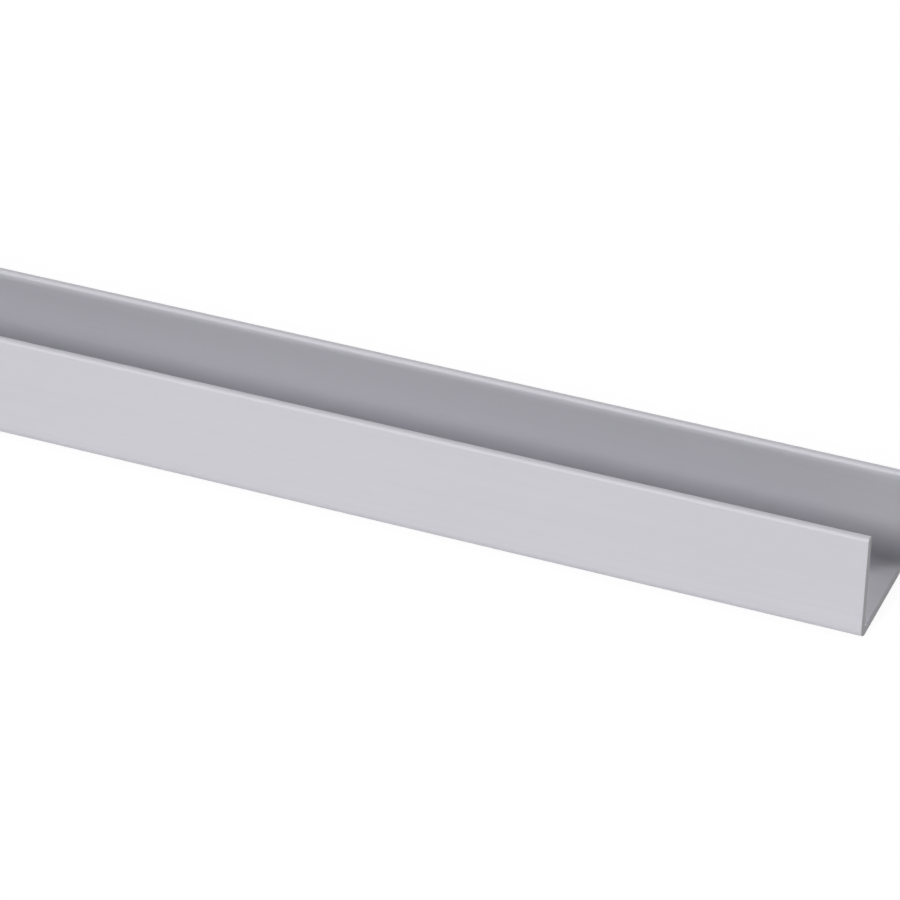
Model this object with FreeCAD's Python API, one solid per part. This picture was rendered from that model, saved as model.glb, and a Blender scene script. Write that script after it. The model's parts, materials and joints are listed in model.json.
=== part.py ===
"""Plastic u-channel: one straight length of extruded rigid PVC, open upwards.

The length runs along X, the two flanges face -Y and +Y, and the web lies flat
underneath. The origin is at the middle of the web's underside. Millimetres.
"""
import FreeCAD
import Part
import math
import os

# Driving dimensions
length = 1000.0      # cut length of the piece
width = 22.0         # across the outsides of the two flanges
height = 19.0        # underside of the web to the tips of the flanges
wall = 1.5           # the web and both flanges
outer_radius = 2.0   # rounding where each flange meets the web, outside
inner_radius = 1.3   # fillet where each flange meets the web, inside
tip_flat = 0.3       # flat left between the two roundings of a flange tip

tip_radius = (wall - tip_flat) / 2


def unit_towards(start, target):
    """Unit vector from one point of the section to another."""
    step = target - start
    return step.multiply(1 / step.Length)


def rounded_outline(corners):
    """Closed wire of straight sides and right-angled corners, each (point, radius)."""
    arcs = []
    for index, (corner, radius) in enumerate(corners):
        before = corners[index - 1][0]
        after = corners[(index + 1) % len(corners)][0]
        back = unit_towards(corner, before)
        ahead = unit_towards(corner, after)
        inwards = back + ahead
        arc_start = corner + back * radius
        arc_middle = corner + inwards * (radius * (1 - math.sqrt(0.5)))
        arc_end = corner + ahead * radius
        arcs.append((arc_start, arc_middle, arc_end))

    edges = []
    for index, (arc_start, arc_middle, arc_end) in enumerate(arcs):
        next_start = arcs[(index + 1) % len(arcs)][0]
        edges.append(Part.Arc(arc_start, arc_middle, arc_end).toShape())
        edges.append(Part.LineSegment(arc_end, next_start).toShape())
    return Part.Wire(edges)


def section_outline(end_x):
    """The channel's section in the plane of one cut end."""
    half = width / 2
    inner_half = half - wall
    corners = [
        (-half, 0, outer_radius),
        (half, 0, outer_radius),
        (half, height, tip_radius),
        (inner_half, height, tip_radius),
        (inner_half, wall, inner_radius),
        (-inner_half, wall, inner_radius),
        (-inner_half, height, tip_radius),
        (-half, height, tip_radius),
    ]
    return rounded_outline(
        [(FreeCAD.Vector(end_x, y, z), radius) for y, z, radius in corners]
    )


def u_channel():
    """The section drawn out to the cut length, both ends sawn square."""
    section = Part.Face(section_outline(-length / 2))
    return section.extrude(FreeCAD.Vector(length, 0, 0))


os.makedirs("parts", exist_ok=True)
u_channel().exportStep("parts/u_channel.step")
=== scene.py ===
"""One length of rigid PVC u-channel, lying open side up on a plain white floor.

The moulding runs along X with its flanges facing -Y and +Y. All lengths are in metres.
"""
import json
import math

import bmesh
import bpy
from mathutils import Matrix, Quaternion, Vector


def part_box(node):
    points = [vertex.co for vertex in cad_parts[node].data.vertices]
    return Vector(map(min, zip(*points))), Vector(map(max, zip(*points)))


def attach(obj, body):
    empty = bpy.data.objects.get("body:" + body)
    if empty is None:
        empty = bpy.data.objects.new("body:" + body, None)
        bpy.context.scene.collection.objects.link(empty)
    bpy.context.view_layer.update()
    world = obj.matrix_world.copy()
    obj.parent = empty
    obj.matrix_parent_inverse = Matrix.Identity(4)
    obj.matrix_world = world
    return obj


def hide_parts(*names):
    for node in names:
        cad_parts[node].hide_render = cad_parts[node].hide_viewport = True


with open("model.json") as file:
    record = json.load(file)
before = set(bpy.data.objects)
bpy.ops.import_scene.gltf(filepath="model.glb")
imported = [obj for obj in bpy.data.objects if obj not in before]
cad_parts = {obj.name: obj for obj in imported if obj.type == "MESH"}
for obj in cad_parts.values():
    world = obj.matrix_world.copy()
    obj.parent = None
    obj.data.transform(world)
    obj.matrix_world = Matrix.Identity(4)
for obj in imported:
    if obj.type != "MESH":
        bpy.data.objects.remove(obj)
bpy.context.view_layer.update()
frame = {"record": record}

MM = 0.001

# ---------------------------------------------------------------- sizes of the moulding

LOW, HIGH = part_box("u_channel")
LENGTH = HIGH.x - LOW.x
WIDTH = HIGH.y - LOW.y
HEIGHT = HIGH.z
MOUNTS = {mount["name"]: mount for mount in frame["record"]["mounts"]}
WALL = MOUNTS["web_inside"]["pos_m"][2]
OUTER_RADIUS = 2.0 * MM
INNER_RADIUS = 1.3 * MM
TIP_FLAT = 0.3 * MM
TIP_RADIUS = (WALL - TIP_FLAT) / 2

OUTER_STEPS = 16           # facets round each outside bend
INNER_STEPS = 10           # facets round each inside fillet
TIP_STEPS = 6              # facets round each half of a flange tip

ARRIS = 0.14 * MM          # edge taken off round a sawn end
ARRIS_STEPS = 2
SAWN_SLOPE = 0.3           # faces turned this far towards an end belong to the saw cut
BAY = 12.5 * MM            # spacing of the cross loops that let the flanges wander
FLANGE_WANDER = 0.10 * MM  # how far a flange leans inwards at its tip
FRONT_WAVE = (310 * MM, 2.4)  # length and phase of the front flange's lean
BACK_WAVE = (260 * MM, 0.7)

# ---------------------------------------------------------------- shader expressions

# a Mix node's colour sockets share their names with its other sockets, so they go by number
MIX_FACTOR, MIX_A, MIX_B, MIX_RESULT = 0, 6, 7, 2


class Signal:
    """The value of one output socket. Sums and products of numbers add Math nodes."""

    def __init__(self, board, socket):
        self.board = board
        self.socket = socket

    def math(self, operation, other):
        node = self.board.node("ShaderNodeMath", {"operation": operation}, {0: self, 1: other})
        return self.board.out(node, 0)

    def __add__(self, other):
        return self.math("ADD", other)

    def __mul__(self, other):
        return self.math("MULTIPLY", other)

    def either(self, other):
        return self.math("MAXIMUM", other)

    __radd__ = __add__
    __rmul__ = __mul__


class Board:
    """The node tree of one material or of the world."""

    def __init__(self, tree):
        self.tree = tree
        tree.nodes.clear()

    def node(self, kind, settings=None, sockets=None):
        """A new node: its settings first, then the values or links of its sockets."""
        node = self.tree.nodes.new(kind)
        for name, value in (settings or {}).items():
            if name == "stops":
                self.set_stops(node.color_ramp, value)
            else:
                setattr(node, name, value)
        for name, value in (sockets or {}).items():
            if isinstance(value, Signal):
                self.tree.links.new(value.socket, node.inputs[name])
            else:
                node.inputs[name].default_value = value
        return node

    def out(self, node, name):
        return Signal(self, node.outputs[name])

    @staticmethod
    def set_stops(ramp, stops):
        while len(ramp.elements) > 1:
            ramp.elements.remove(ramp.elements[-1])
        ramp.elements[0].position, ramp.elements[0].color = stops[0]
        for position, color in stops[1:]:
            ramp.elements.new(position).color = color

    def place(self, scale=(1, 1, 1), shift=(0, 0, 0), turn=(0, 0, 0)):
        """The piece's own coordinates in metres, scaled, turned and then shifted."""
        coordinates = self.out(self.node("ShaderNodeTexCoord"), "Object")
        mapping = self.node(
            "ShaderNodeMapping",
            {"vector_type": "POINT"},
            {"Vector": coordinates, "Location": shift, "Rotation": turn, "Scale": scale},
        )
        return self.out(mapping, "Vector")

    def noise(self, vector, scale, detail=2.0, roughness=0.5):
        """Noise from 0 to 1, centred on 0.5."""
        node = self.node(
            "ShaderNodeTexNoise",
            {"noise_dimensions": "3D"},
            {"Vector": vector, "Scale": scale, "Detail": detail, "Roughness": roughness},
        )
        return self.out(node, "Fac")

    def grade(self, factor, stops):
        """A factor read through a row of (position, grey) stops."""
        colors = [(place, (grey, grey, grey, 1)) for place, grey in stops]
        node = self.node("ShaderNodeValToRGB", {"stops": colors}, {"Fac": factor})
        return self.out(node, "Color")

    def blend(self, factor, first, second):
        """A colour mixed from two others."""
        node = self.node(
            "ShaderNodeMix",
            {"data_type": "RGBA", "blend_type": "MIX"},
            {MIX_FACTOR: factor, MIX_A: first, MIX_B: second},
        )
        return self.out(node, MIX_RESULT)

    def bump(self, height, distance, normal=None):
        """Relief of that many metres for a height from 0 to 1, over any relief already there."""
        sockets = {"Height": height, "Distance": distance, "Strength": 1.0}
        if normal is not None:
            sockets["Normal"] = normal
        return self.out(self.node("ShaderNodeBump", {}, sockets), "Normal")

    def seen_directly(self):
        """1 on rays from the camera and in mirrors and glass, 0 on the rays that carry light."""
        path = self.node("ShaderNodeLightPath")
        camera = self.out(path, "Is Camera Ray")
        glossy = self.out(path, "Is Glossy Ray")
        through = self.out(path, "Is Transmission Ray")
        return camera.either(glossy).either(through)


def new_material(name):
    material = bpy.data.materials.new(name)
    material.use_nodes = True
    return material, Board(material.node_tree)


# ---------------------------------------------------------------- materials

PVC_PALE = (0.675, 0.670, 0.712, 1)
PVC_DEEP = (0.630, 0.625, 0.668, 1)
# cut-end colours: partly the duller sawn surface, partly painted shade that darkens the ends and
# their arris
SAWN_PALE_WITH_SHADE = (0.525, 0.520, 0.548, 1)
SAWN_DEEP_WITH_SHADE = (0.430, 0.426, 0.450, 1)
PVC_IOR = 1.53
ALONG = 0.004               # lengthwise squeeze that draws a pattern out into lines along X
RUB_ALONG = 0.06            # the same for the shorter rubs
RUB_TURN = (0, 0.03, 0.05)  # how far the rubs stray from the length

# relief from the bottom of each pattern to its top
BAND_DEPTH = 6e-6
LINE_DEPTH = 1.6e-6
GRAIN_DEPTH = 0.8e-6
SAW_ARC_DEPTH = 9e-6
TEAR_DEPTH = 12e-6

# cells of each noise in a metre
DIE_LINE_DENSITY = 3200
BAND_DENSITY = 520
CLOUD_DENSITY = 22
GRAIN_DENSITY = 7000
RUB_DENSITY = 900
TEAR_DENSITY = 3500

SAW_ARC_SCALE = 420         # the wave's own scale, which gives an arc every 0.75 mm
SAW_OFFSET = (0.06, -0.12)  # added to Y and Z, so the arcs' centre is at -0.06, 0.12

RUB_STOPS = [(0.62, 0), (0.74, 1)]   # only the highest parts of that noise count as rubbed
TONE_STOPS = [(0.35, 0), (0.85, 1)]
SKIN_ROUGHNESS = 0.45
SAWN_ROUGHNESS = 0.55


def finish_plastic(board, color, roughness, relief):
    """Join the plastic's colour, roughness and relief to the surface."""
    shader = board.node(
        "ShaderNodeBsdfPrincipled",
        {},
        {"Base Color": color, "Roughness": roughness, "Normal": relief, "IOR": PVC_IOR},
    )
    board.node("ShaderNodeOutputMaterial", {}, {"Surface": board.out(shader, "BSDF")})


def extruded_pvc():
    """Satin PVC as it leaves the die: lines along the length, faint clouds, light handling rubs."""
    material, board = new_material("extruded_pvc")
    lengthwise = board.place(scale=(ALONG, 1, 1))
    die_lines = board.noise(lengthwise, DIE_LINE_DENSITY, detail=3, roughness=0.6)
    drag_bands = board.noise(lengthwise, BAND_DENSITY, detail=1)
    clouds = board.noise(board.place(), CLOUD_DENSITY, detail=3)
    grain = board.noise(board.place(), GRAIN_DENSITY)
    rubs = board.noise(board.place(scale=(RUB_ALONG, 1, 1), turn=RUB_TURN), RUB_DENSITY, detail=4)
    rubbed = board.grade(rubs, RUB_STOPS)

    tone = board.grade(0.5 * die_lines + 0.3 * drag_bands + 0.4 * clouds, TONE_STOPS)
    color = board.blend(tone, PVC_DEEP, PVC_PALE)
    roughness = SKIN_ROUGHNESS + 0.08 * die_lines + 0.06 * clouds + 0.06 * rubbed

    relief = board.bump(drag_bands, BAND_DEPTH)
    relief = board.bump(die_lines, LINE_DEPTH, relief)
    relief = board.bump(grain, GRAIN_DEPTH, relief)
    finish_plastic(board, color, roughness, relief)
    return material


def sawn_pvc_with_painted_shade():
    """A cut end: shallow arcs left by a fine circular blade, duller than the skin, its colour
    darker partly as sawn plastic and partly as painted shade.
    """
    material, board = new_material("sawn_pvc_with_painted_shade")
    arcs = board.node(
        "ShaderNodeTexWave",
        {"wave_type": "RINGS", "rings_direction": "X", "wave_profile": "SIN"},
        {
            "Vector": board.place(shift=(-HIGH.x, *SAW_OFFSET)),
            "Scale": SAW_ARC_SCALE,
            "Distortion": 1.2,
            "Detail": 2,
            "Detail Scale": 3,
        },
    )
    saw_arcs = board.out(arcs, "Fac")
    tearing = board.noise(board.place(), TEAR_DENSITY, detail=4, roughness=0.7)
    # the two cut-end colours carry painted shade as well as the sawn plastic's own tone
    color = board.blend(0.5 * saw_arcs + 0.5 * tearing, SAWN_DEEP_WITH_SHADE, SAWN_PALE_WITH_SHADE)
    roughness = SAWN_ROUGHNESS + 0.2 * tearing
    relief = board.bump(saw_arcs, SAW_ARC_DEPTH)
    relief = board.bump(tearing, TEAR_DEPTH, relief)
    finish_plastic(board, color, roughness, relief)
    return material


# ---------------------------------------------------------------- the moulding


def section_corners():
    """Corners of the section, anticlockwise seen from +X, each (y, z, radius, facets)."""
    half = WIDTH / 2
    inner_half = half - WALL
    return [
        (-half, 0, OUTER_RADIUS, OUTER_STEPS),
        (half, 0, OUTER_RADIUS, OUTER_STEPS),
        (half, HEIGHT, TIP_RADIUS, TIP_STEPS),
        (inner_half, HEIGHT, TIP_RADIUS, TIP_STEPS),
        (inner_half, WALL, INNER_RADIUS, INNER_STEPS),
        (-inner_half, WALL, INNER_RADIUS, INNER_STEPS),
        (-inner_half, HEIGHT, TIP_RADIUS, TIP_STEPS),
        (-half, HEIGHT, TIP_RADIUS, TIP_STEPS),
    ]


def rounded_section(mesh):
    """The section as one face at the left end, with every corner rounded to its radius."""
    corners = section_corners()
    points = [mesh.verts.new((LOW.x, y, z)) for y, z, _, _ in corners]
    mesh.faces.new(points)
    for point, (_, _, radius, steps) in zip(points, corners):
        bmesh.ops.bevel(
            mesh,
            geom=[point],
            offset=radius,
            offset_type="OFFSET",
            segments=steps,
            profile=0.5,
            affect="VERTICES",
            material=-1,
        )


def draw_out(mesh):
    """Extrude the section to the full length and divide the long faces into bays."""
    drawn = bmesh.ops.extrude_face_region(mesh, geom=mesh.faces[:])
    far_points = [item for item in drawn["geom"] if isinstance(item, bmesh.types.BMVert)]
    bmesh.ops.translate(mesh, verts=far_points, vec=(LENGTH, 0, 0))
    long_edges = [edge for edge in mesh.edges if edge.calc_length() > LENGTH / 2]
    bays = round(LENGTH / BAY)
    bmesh.ops.subdivide_edges(mesh, edges=long_edges, cuts=bays - 1, use_grid_fill=True)
    bmesh.ops.recalc_face_normals(mesh, faces=mesh.faces[:])


def is_sawn(face):
    return abs(face.normal.x) > SAWN_SLOPE


def soften_ends(mesh):
    """Take the sharp arris off both sawn ends."""
    rims = [edge for face in mesh.faces if is_sawn(face) for edge in face.edges]
    bmesh.ops.bevel(
        mesh,
        geom=rims,
        offset=ARRIS,
        offset_type="OFFSET",
        segments=ARRIS_STEPS,
        profile=0.5,
        affect="EDGES",
        material=-1,
        clamp_overlap=True,
    )


def wander_flanges(mesh):
    """Lean each flange in by a hair, more at the tip, in long waves along the length."""
    for point in mesh.verts:
        reach = max(0, point.co.z - OUTER_RADIUS) / (HEIGHT - OUTER_RADIUS)
        side = math.copysign(1, point.co.y)
        wave_length, phase = FRONT_WAVE if side < 0 else BACK_WAVE
        wave = 0.5 + 0.5 * math.sin(math.tau * point.co.x / wave_length + phase)
        point.co.y -= side * FLANGE_WANDER * wave * reach**2


def channel_moulding():
    mesh = bmesh.new()
    rounded_section(mesh)
    draw_out(mesh)
    soften_ends(mesh)
    wander_flanges(mesh)
    for face in mesh.faces:
        face.smooth = True
        # the sawn ends and their arris take the cut-end colour, which holds painted shade
        face.material_index = 1 if is_sawn(face) else 0
    data = bpy.data.meshes.new("channel_moulding")
    mesh.to_mesh(data)
    mesh.free()
    data.materials.append(extruded_pvc())
    data.materials.append(sawn_pvc_with_painted_shade())
    piece = bpy.data.objects.new("channel_moulding", data)
    bpy.context.scene.collection.objects.link(piece)
    normals = piece.modifiers.new("even_shading", "WEIGHTED_NORMAL")
    normals.mode = "FACE_AREA"
    normals.keep_sharp = True
    return piece


# ---------------------------------------------------------------- floor, light and camera

WHITE = (1, 1, 1, 1)
COOL_WHITE = (0.99, 0.99, 1.0)

FLOOR_SIZE = 24.0
FLOOR_PALE = (0.65, 0.65, 0.65, 1)
FLOOR_LIT = 0.38    # a little under what the lamps alone make of the bare floor
SHADOW_SHARE = 0.3  # how much of the floor's look is its lit surface, and so its shadow
FLOOR_GLOW = (1 - SHADOW_SHARE * FLOOR_LIT) / (1 - SHADOW_SHARE)  # the two come to white together

# name, azimuth and elevation of the lamp as seen from the object, width in degrees, strength
LAMPS = [
    ("key_softbox", -10, 31, 15, 1.31),
    ("low_front_strip", -10, 2.3, 4.6, 0.85),
    ("front_card", -15, 8, 24, 0.10),
    ("left_softbox", -100, 50, 30, 0.54),
    ("right_softbox", 113, 55, 34, 0.95),
    ("right_card", 80, 30, 14, 0.13),
    ("low_back_strip", 178, 0.6, 1.2, 1.40),
]

CAMERA_AZIMUTH = 21.73
CAMERA_ELEVATION = 32.23
CAMERA_ROLL = math.radians(0.998)
CAMERA_DISTANCE = 0.68282
CAMERA_LENS = 167.007
CAMERA_SENSOR = 36.0
CAMERA_CLIP = (0.01, 100)
AIM_FROM_END = 0.07483  # how far back from the right end the camera looks
AIM_ACROSS = 0.00123


def direction_to(azimuth, elevation):
    """Unit vector from the object towards a lamp or the camera, for angles in degrees."""
    azimuth = math.radians(azimuth)
    elevation = math.radians(elevation)
    level = math.cos(elevation)
    return Vector((math.sin(azimuth) * level, -math.cos(azimuth) * level, math.sin(elevation)))


def floor():
    mesh = bmesh.new()
    bmesh.ops.create_grid(mesh, x_segments=1, y_segments=1, size=FLOOR_SIZE / 2)
    data = bpy.data.meshes.new("floor")
    mesh.to_mesh(data)
    mesh.free()
    material, board = new_material("white_floor")
    lit = board.out(board.node("ShaderNodeBsdfDiffuse", {}, {"Color": FLOOR_PALE}), 0)
    glow = board.out(
        board.node("ShaderNodeEmission", {}, {"Color": WHITE, "Strength": FLOOR_GLOW}), 0
    )
    glowing = (1 - SHADOW_SHARE) * board.seen_directly()
    mixed = board.node("ShaderNodeMixShader", {}, {0: glowing, 1: lit, 2: glow})
    board.node("ShaderNodeOutputMaterial", {}, {"Surface": board.out(mixed, 0)})
    data.materials.append(material)
    plane = bpy.data.objects.new("floor", data)
    bpy.context.scene.collection.objects.link(plane)


def studio_world():
    """A world that is white where it shows and gives no light."""
    world = bpy.data.worlds.new("studio")
    world.use_nodes = True
    bpy.context.scene.world = world
    board = Board(world.node_tree)
    light = board.node(
        "ShaderNodeBackground", {}, {"Color": WHITE, "Strength": board.seen_directly()}
    )
    board.node("ShaderNodeOutputWorld", {}, {"Surface": board.out(light, 0)})


def lamps():
    for name, azimuth, elevation, spread, strength in LAMPS:
        light = bpy.data.lights.new(name, "SUN")
        light.angle = math.radians(spread)
        light.energy = strength
        light.color = COOL_WHITE
        lamp = bpy.data.objects.new(name, light)
        lamp.rotation_mode = "QUATERNION"
        lamp.rotation_quaternion = direction_to(azimuth, elevation).to_track_quat("Z", "Y")
        bpy.context.scene.collection.objects.link(lamp)


def camera():
    data = bpy.data.cameras.new("camera")
    data.lens = CAMERA_LENS
    data.sensor_width = CAMERA_SENSOR
    data.clip_start, data.clip_end = CAMERA_CLIP
    rig = bpy.data.objects.new("camera", data)
    towards = direction_to(CAMERA_AZIMUTH, CAMERA_ELEVATION)
    aim = Vector((HIGH.x - AIM_FROM_END, AIM_ACROSS, HEIGHT / 2))
    rig.location = aim + towards * CAMERA_DISTANCE
    rig.rotation_mode = "QUATERNION"
    rig.rotation_quaternion = towards.to_track_quat("Z", "Y") @ Quaternion((0, 0, 1), CAMERA_ROLL)
    bpy.context.scene.collection.objects.link(rig)
    bpy.context.scene.camera = rig


bpy.context.scene.view_settings.view_transform = "Standard"
channel = channel_moulding()
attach(channel, "root")
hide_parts("u_channel")
floor()
studio_world()
lamps()
camera()
